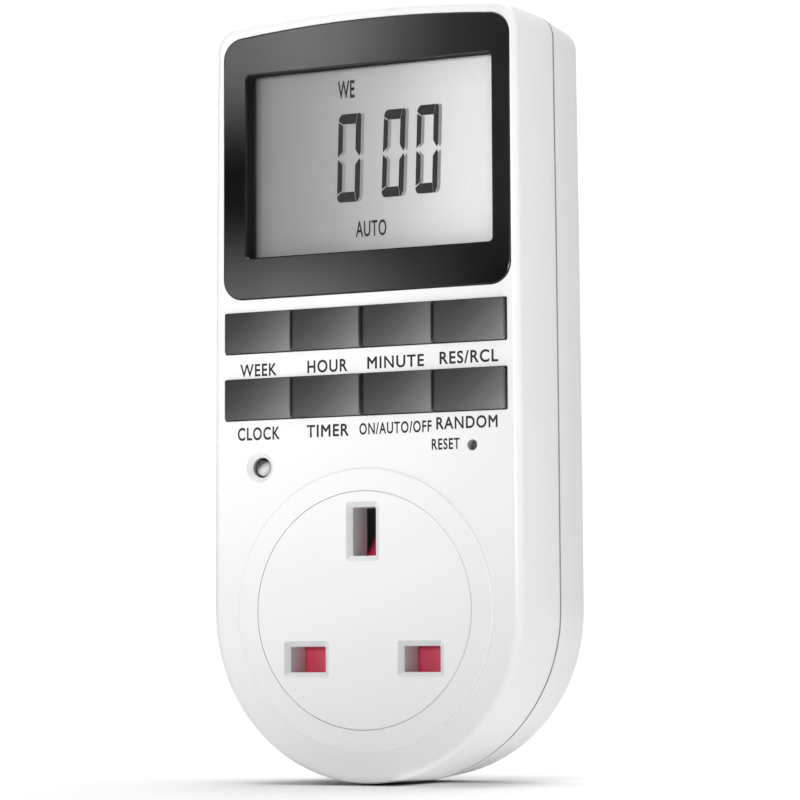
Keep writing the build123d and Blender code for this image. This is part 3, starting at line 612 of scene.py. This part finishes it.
def place_letters(bm, text, x0, x1, z0, z1, y, thick, weight, spacing):
    """Adds the text's solid to bm on a plane that faces -Y, its capitals from z0 to z1. Sizes are in mm,
    apart from weight, which is a share of the letter size, and spacing, which multiplies the gaps."""
    mesh = letter_mesh(text, spacing)
    embolden(mesh, weight)
    xs = [v.co.x for v in mesh.vertices]
    sx, sz = (x1 - x0) / (max(xs) - min(xs)), (z1 - z0) / CAPITAL
    for v in mesh.vertices:
        side = 0.5 + v.co.z / (2 * LETTER_DEPTH)
        height = v.co.y * sz
        v.co = Vector((x0 + (v.co.x - min(xs)) * sx, y - thick * side, z0 + height)) * MM
    bm.from_mesh(mesh)
    bpy.data.meshes.remove(mesh)


# Key names: text, left, right, foot, top in mm on the front face.
LEGENDS = (
    ("week", "WEEK", -24.6, -17.2, 39.3, 41.4),
    ("hour", "HOUR", -11.05, -3.1, 39.4, 41.5),
    ("minute", "MINUTE", 0.8, 11.8, 39.6, 41.6),
    ("recall", "RES/RCL", 14.8, 25.9, 39.75, 41.8),
    ("clock", "CLOCK", -25.1, -16.6, 27.9, 30.05),
    ("timer", "TIMER", -11.2, -2.85, 28.0, 30.05),
    ("mode", "ON/AUTO/OFF", -0.8, 13.2, 28.1, 30.0),
    ("random", "RANDOM", 14.1, 25.7, 28.45, 30.45),
    ("reset", "RESET", 13.2, 18.55, 24.95, 26.75),
)

PRINT_SINK, PRINT_THICK = 0.004, 0.016
LEGEND_WEIGHT, LEGEND_SPACING = 0.022, 1.14

for name, text, x0, x1, z0, z1 in LEGENDS:
    bm = bmesh.new()
    place_letters(bm, text, x0, x1, z0, z1, FACE_Y + PRINT_SINK, PRINT_THICK, LEGEND_WEIGHT, LEGEND_SPACING)
    piece("legend_" + name, mesh_from("legend_" + name, bm), print_ink.mat)


# One display digit: outlines of its six lit segments, in millimetres from its lower left corner.
DIGIT_W, DIGIT_H = 4.35, 15.6
MIDDLE = DIGIT_H / 2
SEGMENTS = (
    # top
    ((0.0, DIGIT_H - 1.1), (0.12, DIGIT_H - 0.6), (0.5, DIGIT_H - 0.1), (0.75, DIGIT_H),
     (DIGIT_W - 0.7, DIGIT_H), (DIGIT_W - 1.08, DIGIT_H - 1.78), (0.85, DIGIT_H - 1.78),
     (0.35, DIGIT_H - 1.45)),
    # upper left
    ((0.0, MIDDLE + 0.22), (0.88, MIDDLE + 1.15), (0.88, DIGIT_H - 2.02), (0.0, DIGIT_H - 1.42)),
    # upper right
    ((DIGIT_W - 0.6, DIGIT_H), (DIGIT_W - 0.2, DIGIT_H), (DIGIT_W, DIGIT_H - 0.5),
     (DIGIT_W, MIDDLE + 0.75), (DIGIT_W - 0.22, MIDDLE + 0.22), (DIGIT_W - 1.0, MIDDLE + 1.45),
     (DIGIT_W - 1.0, DIGIT_H - 1.85)),
    # lower left
    ((0.0, 1.42), (0.9, 2.05), (0.9, MIDDLE - 1.15), (0.12, MIDDLE - 0.22), (0.0, MIDDLE - 0.5)),
    # lower right
    ((DIGIT_W - 0.22, MIDDLE - 0.22), (DIGIT_W, MIDDLE - 0.6), (DIGIT_W, 0.9), (DIGIT_W - 0.3, 0.2),
     (DIGIT_W - 0.6, 0.0), (DIGIT_W - 0.98, 1.9), (DIGIT_W - 0.98, MIDDLE - 1.3)),
    # bottom
    ((0.0, 1.1), (0.85, 1.78), (DIGIT_W - 1.06, 1.78), (DIGIT_W - 0.72, 0.0), (0.6, 0.0), (0.25, 0.25),
     (0.0, 0.8)),
)
# Digits: lower left corner and width and height scale, then how far the top leans right.
DIGITS = (
    (-6.95, 69.95, 4.5 / DIGIT_W, 15.85 / DIGIT_H, 0.43),
    (1.9, 70.3, 4.25 / DIGIT_W, 15.6 / DIGIT_H, 0.63),
    (8.55, 70.45, 4.2 / DIGIT_W, 15.7 / DIGIT_H, 0.5),
)
# A lit segment stands a little in front of the glass; its soft shadow lies just behind that, to the right.
SHADOW_DX, SHADOW_DZ = 0.62, -0.04
LIT_Y, LIT_THICK = GLASS_Y - 0.03, 0.03
SHADOW_Y, SHADOW_THICK = GLASS_Y + 0.005, 0.012


def flat_solid(bm, outline, y, thick):
    """A closed plate on a plane that faces -Y; the outline is a list of (x, z) in mm."""
    front = [bm.verts.new((x * MM, (y - thick) * MM, z * MM)) for x, z in outline]
    back = [bm.verts.new((x * MM, y * MM, z * MM)) for x, z in outline]
    bm.faces.new(front)
    bm.faces.new(back[::-1])
    count = len(outline)
    for i in range(count):
        j = (i + 1) % count
        bm.faces.new((front[i], back[i], back[j], front[j]))


def digit(bm, spec, y, thick, dx=0.0, dz=0.0):
    x, z, sx, sz, lean = spec
    for outline in SEGMENTS:
        points = [(x + dx + px * sx + lean * pz / DIGIT_H, z + dz + pz * sz) for px, pz in outline]
        flat_solid(bm, points, y, thick)


for number, spec in enumerate(DIGITS, 1):
    bm = bmesh.new()
    digit(bm, spec, LIT_Y, LIT_THICK)
    name = f"display_digit_{number}"
    piece(name, mesh_from(name, bm), segment_ink.mat)
    bm = bmesh.new()
    digit(bm, spec, SHADOW_Y, SHADOW_THICK, SHADOW_DX, SHADOW_DZ)
    name = f"digit_shadow_{number}"
    piece(name, mesh_from(name, bm), shadow_ink.mat)

for name, text, x0, x1, z0, z1, weight in (
    ("display_day", "WE", -6.7, -3.35, 88.75, 91.75, 0.02),
    ("display_mode", "AUTO", -3.2, 2.85, 63.6, 66.3, 0.014),
):
    bm = bmesh.new()
    place_letters(bm, text, x0, x1, z0, z1, LIT_Y, LIT_THICK, weight, 1.1)
    piece(name, mesh_from(name, bm), segment_ink.mat)


# Silicone mat: a flat web, and a round dome on it under each key.
MAT_LOW, MAT_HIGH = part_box("keypad_mat")
WEB_BACK = -25.5
WEB_FRONT = -26.5
DOME_TOP = MAT_LOW.y / MM
DOME_KEYS = ("week", "hour", "minute", "recall", "clock", "timer", "mode", "random")


def revolve(bm, centre_x, centre_z, profile, steps=40):
    """A closed profile of (radius, y) turned about the Y axis through a centre, in mm."""
    rings = []
    for k in range(steps):
        a = 2 * math.pi * k / steps
        rings.append([
            bm.verts.new(((centre_x + r * math.cos(a)) * MM, y * MM, (centre_z + r * math.sin(a)) * MM))
            for r, y in profile
        ])
    for k in range(steps):
        here, there = rings[k], rings[(k + 1) % steps]
        for i in range(len(profile) - 1):
            bm.faces.new((here[i], here[i + 1], there[i + 1], there[i]))
    return rings


def close_ends(bm, rings):
    bm.faces.new([ring[0] for ring in rings])
    bm.faces.new([ring[-1] for ring in rings][::-1])


def smooth(mesh, angle):
    """Smooth shading, with the edges sharper than an angle in degrees kept sharp."""
    for polygon in mesh.polygons:
        polygon.use_smooth = True
    mesh.set_sharp_from_angle(angle=math.radians(angle))
    return mesh


# How much each corner of the web is cut back along its sides, and on its diagonal.
CORNER_CUT, CORNER_MIDDLE = 1.5, 0.44
left, right, foot, top = (v / MM for v in (MAT_LOW.x, MAT_HIGH.x, MAT_LOW.z, MAT_HIGH.z))
outline = [
    (left, foot + CORNER_CUT), (left + CORNER_MIDDLE, foot + CORNER_MIDDLE), (left + CORNER_CUT, foot),
    (right - CORNER_CUT, foot), (right - CORNER_MIDDLE, foot + CORNER_MIDDLE), (right, foot + CORNER_CUT),
    (right, top - CORNER_CUT), (right - CORNER_MIDDLE, top - CORNER_MIDDLE), (right - CORNER_CUT, top),
    (left + CORNER_CUT, top), (left + CORNER_MIDDLE, top - CORNER_MIDDLE), (left, top - CORNER_CUT),
]
bm = bmesh.new()
flat_solid(bm, outline, WEB_BACK, WEB_BACK - WEB_FRONT)
web = piece("mat_web", mesh_from("mat_web", bm), looks["mat_rubber"].mat)
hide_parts("keypad_mat")

for key in DOME_KEYS:
    low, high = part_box(key + "_key")
    cx, cz = (low.x + high.x) / 2 / MM, (low.z + high.z) / 2 / MM
    bm = bmesh.new()
    profile = [
        (0.55, DOME_TOP + 0.25), (1.3, DOME_TOP + 0.02), (1.9, DOME_TOP + 0.1), (2.0, DOME_TOP + 0.3),
        (2.25, DOME_TOP + 0.75), (2.6, WEB_FRONT - 0.2), (2.95, WEB_FRONT - 0.02),
        (2.95, WEB_FRONT + 0.05),
    ]
    close_ends(bm, revolve(bm, cx, cz, profile))
    mesh = smooth(mesh_from("dome", bm), 40)
    dome = piece("mat_dome_" + key, mesh, looks["mat_rubber"].mat)
    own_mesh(dome)


# Shutter return spring: a round wire wound between its seat and the shutter.
SPRING_LOW, SPRING_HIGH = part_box("shutter_spring")
WIRE_R, COIL_TURNS = 0.22, 7
coil_centre = (SPRING_LOW + SPRING_HIGH) / 2
coil_r = (SPRING_HIGH.x - SPRING_LOW.x) / 2 / MM - WIRE_R
END_TURN_LEAN = 0.32 * 0.35 / (2 * math.pi)
coil_foot, coil_top = SPRING_LOW.z / MM + WIRE_R, SPRING_HIGH.z / MM - WIRE_R


def spring():
    """The coil: rings of points along the helix, joined into a closed round wire."""
    bm = bmesh.new()
    steps, around = COIL_TURNS * 32, 10
    rings = []
    for k in range(steps + 1):
        share = k / steps
        a = 2 * math.pi * COIL_TURNS * share
        # The end turns lie flatter than the working turns.
        level = share - END_TURN_LEAN * math.sin(2 * math.pi * share)
        at = Vector((
            coil_centre.x / MM + coil_r * math.cos(a), coil_centre.y / MM + coil_r * math.sin(a),
            coil_foot + (coil_top - coil_foot) * level,
        ))
        out = Vector((math.cos(a), math.sin(a), 0))
        rings.append([
            bm.verts.new((at + WIRE_R * (math.cos(b) * out + math.sin(b) * Vector((0, 0, 1)))) * MM)
            for b in (2 * math.pi * i / around for i in range(around))
        ])
    for here, there in zip(rings, rings[1:]):
        for i in range(around):
            j = (i + 1) % around
            bm.faces.new((here[i], there[i], there[j], here[j]))
    bm.faces.new(rings[0])
    bm.faces.new(rings[-1][::-1])
    return smooth(mesh_from("spring", bm), 60)


coil = piece("spring_coil", spring(), looks["spring_steel"].mat)
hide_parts("shutter_spring")
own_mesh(coil)


# ---------------------------------------------------------------- studio

STUDIO_LIGHT = 0.6
BACKDROP_LIGHT = 1.1
SIDE_RIGHT, SIDE_LEFT = 0.12, 0.0  # what is left of the studio light at the far right and far left
SUN_STRENGTH = 2.35
KEY_POWER, EDGE_POWER, UNDER_POWER, GLINT_POWER = 13.2, 0.0105, 0.0007, 0.3
FLOOR_HALF = 6


def sheet_object(name, corners):
    mesh = bpy.data.meshes.new(name)
    mesh.from_pydata(corners, [], [tuple(range(len(corners)))])
    made = bpy.data.objects.new(name, mesh)
    bpy.context.scene.collection.objects.link(made)
    return made


floor = sheet_object(
    "floor", [(FLOOR_HALF * x, FLOOR_HALF * y, FLOOR_Z) for x, y in ((-1, -1), (1, -1), (1, 1), (-1, 1))]
)
paper = Look("studio_paper")
paper.colour(paper.ramp(paper.noise(paper.coords(), 3, 2), [(0.3, 0.915), (0.7, 0.925)]))
paper.set(Roughness=0.9, Specular_IOR_Level=0.0)
floor.data.materials.append(paper.mat)

# A dark card at the front left, lit in two soft patches, is what the gloss black bezel mirrors.
CARD_Y, CARD_LEFT, CARD_RIGHT, CARD_TOP = -0.75, -0.75, -0.12, 0.5
card = sheet_object(
    "card",
    [
        (CARD_LEFT, CARD_Y, FLOOR_Z), (CARD_RIGHT, CARD_Y, FLOOR_Z),
        (CARD_RIGHT, CARD_Y, CARD_TOP), (CARD_LEFT, CARD_Y, CARD_TOP),
    ],
)
card.visible_camera = False
card.visible_diffuse = False
card.visible_shadow = False
# Where on the card a point of the bezel's face is mirrored, seen from the camera.
MIRROR = 2.535
MIRROR_X, MIRROR_Z = -0.3602, 0.01796
CARD_GLOW = 5.0


def on_card_x(mm):
    return MIRROR_X + MIRROR * mm * MM


def on_card_z(mm):
    return MIRROR_Z + MIRROR * mm * MM


def card_look():
    """The card's glow: one sweep across it for the bezel's top bar, one for its foot, one between them.
    Places are millimetres on the bezel; levels are the light that it mirrors there."""
    look = Look("card_glow")
    tree = look.tree
    tree.nodes.remove(look.shader)
    glow = look.node("ShaderNodeEmission")
    look.link(glow.outputs[0], look.out.inputs["Surface"])
    at = look.coords()
    x, z = look.axis(at, "X"), look.axis(at, "Z")

    def run(value, place, stops):
        low, high = place(stops[0][0]), place(stops[-1][0])
        made = [((place(mm) - low) / (high - low), level / CARD_GLOW) for mm, level in stops]
        return look.ramp(look.spread(value, low, high), made, "EASE")

    upper = run(x, on_card_x, [
        (-60, 2.4), (-25, 2.9), (-12, 4.0), (-5, 3.5), (3, 2.4), (10, 1.3), (18, 0.55), (27, 0.32), (60, 0.3),
    ])
    lower = run(x, on_card_x, [
        (-60, 2.6), (-24, 2.75), (-15, 3.5), (-7, 3.0), (0, 2.2), (5, 1.5), (10, 0.98), (16, 0.55),
        (22, 0.14), (27, 0.0), (60, 0.0),
    ])
    middle = run(x, on_card_x, [(-60, 0.0), (8, 0.02), (18, 0.2), (27, 0.34), (60, 0.34)])
    up = look.spread(z, on_card_z(77), on_card_z(98), smooth=True)
    down = look.spread(z, on_card_z(70), on_card_z(50), smooth=True)
    lit = look.mix(down, look.mix(up, middle, upper), lower)
    look.link(look.mix(1.0, lit, (0.02, 0.02, 0.02), "ADD"), glow.inputs["Color"])
    glow.inputs["Strength"].default_value = CARD_GLOW
    return look


card.data.materials.append(card_look().mat)

world = bpy.data.worlds.new("studio")
bpy.context.scene.world = world
world.use_nodes = True
nodes, links = world.node_tree.nodes, world.node_tree.links
nodes.clear()
sky = nodes.new("ShaderNodeBackground")
sky.inputs["Color"].default_value = (1, 1, 1, 1)
result = nodes.new("ShaderNodeOutputWorld")
links.new(sky.outputs[0], result.inputs["Surface"])


def world_node(kind, **values):
    made = nodes.new(kind)
    for name, value in values.items():
        made.inputs[name.replace("_", " ")].default_value = value
    return made


def world_maths(operation):
    made = nodes.new("ShaderNodeMath")
    made.operation = operation
    return made


# The room is bright in front, behind and overhead, and falls off to both sides, as between two dark
# flats. The camera sees it as an even white backdrop.
direction = nodes.new("ShaderNodeTexCoord")
parts = nodes.new("ShaderNodeSeparateXYZ")
links.new(direction.outputs["Generated"], parts.inputs[0])
sides = world_maths("ADD")
for i, (near, far, rest) in enumerate(((0.1, 1.0, SIDE_RIGHT), (-0.12, -0.85, SIDE_LEFT))):
    flat = world_node("ShaderNodeMapRange", From_Min=near, From_Max=far, To_Min=0.0, To_Max=1.0 - rest)
    flat.interpolation_type = "SMOOTHSTEP"
    links.new(parts.outputs["X"], flat.inputs["Value"])
    links.new(flat.outputs["Result"], sides.inputs[i])
level = world_maths("SUBTRACT")
level.inputs[0].default_value = 1.0
links.new(sides.outputs[0], level.inputs[1])
strength = world_maths("MULTIPLY")
strength.inputs[1].default_value = STUDIO_LIGHT
links.new(level.outputs[0], strength.inputs[0])
seen = nodes.new("ShaderNodeLightPath")
backdrop = nodes.new("ShaderNodeMix")
backdrop.data_type = "FLOAT"
backdrop.inputs[3].default_value = BACKDROP_LIGHT
links.new(seen.outputs["Is Camera Ray"], backdrop.inputs[0])
links.new(strength.outputs[0], backdrop.inputs[2])
links.new(backdrop.outputs[0], sky.inputs["Strength"])


def light(kind, name, at, aim, power, **settings):
    """A lamp that the camera doesn't see, at a place and aimed at another, in metres."""
    data = bpy.data.lights.new(name, kind)
    data.energy = power
    for key, value in settings.items():
        setattr(data, key, value)
    made = bpy.data.objects.new(name, data)
    bpy.context.scene.collection.objects.link(made)
    made.location = at
    made.rotation_euler = (Vector(aim) - Vector(at)).to_track_quat("-Z", "Y").to_euler()
    made.visible_camera = False
    return made


light("SUN", "overhead", (-0.02, 0.19, 1.0), (0, 0, 0), SUN_STRENGTH, angle=math.radians(60))
light(
    "SPOT", "key_light", (-0.03, -0.83, 0.1), (-0.025, -0.032, 0.065), KEY_POWER,
    spot_size=2 * math.atan(0.105 / 0.8), spot_blend=0.73, shadow_soft_size=0.06,
)
# Just beside and below the case, as white cards would be: they fill its right side and its underside.
edge = light(
    "AREA", "edge_light", (0.062, -0.034, 0.06), (0, -0.034, 0.06), EDGE_POWER,
    shape="RECTANGLE", size=0.008, size_y=0.18,
)
edge.visible_glossy = False
under = light(
    "AREA", "under_light", (0.019, -0.024, FLOOR_Z + 0.0004), (0.019, -0.024, 1.0), UNDER_POWER,
    shape="RECTANGLE", size=0.026, size_y=0.022,
)
under.visible_glossy = False
glint = light(
    "AREA", "glint_light", (0.85, -0.445, 0.225), (0, -0.032, 0.07), GLINT_POWER,
    shape="RECTANGLE", size=0.1, size_y=0.1,
)
glint.visible_diffuse = False

bpy.context.scene.view_settings.view_transform = "Standard"
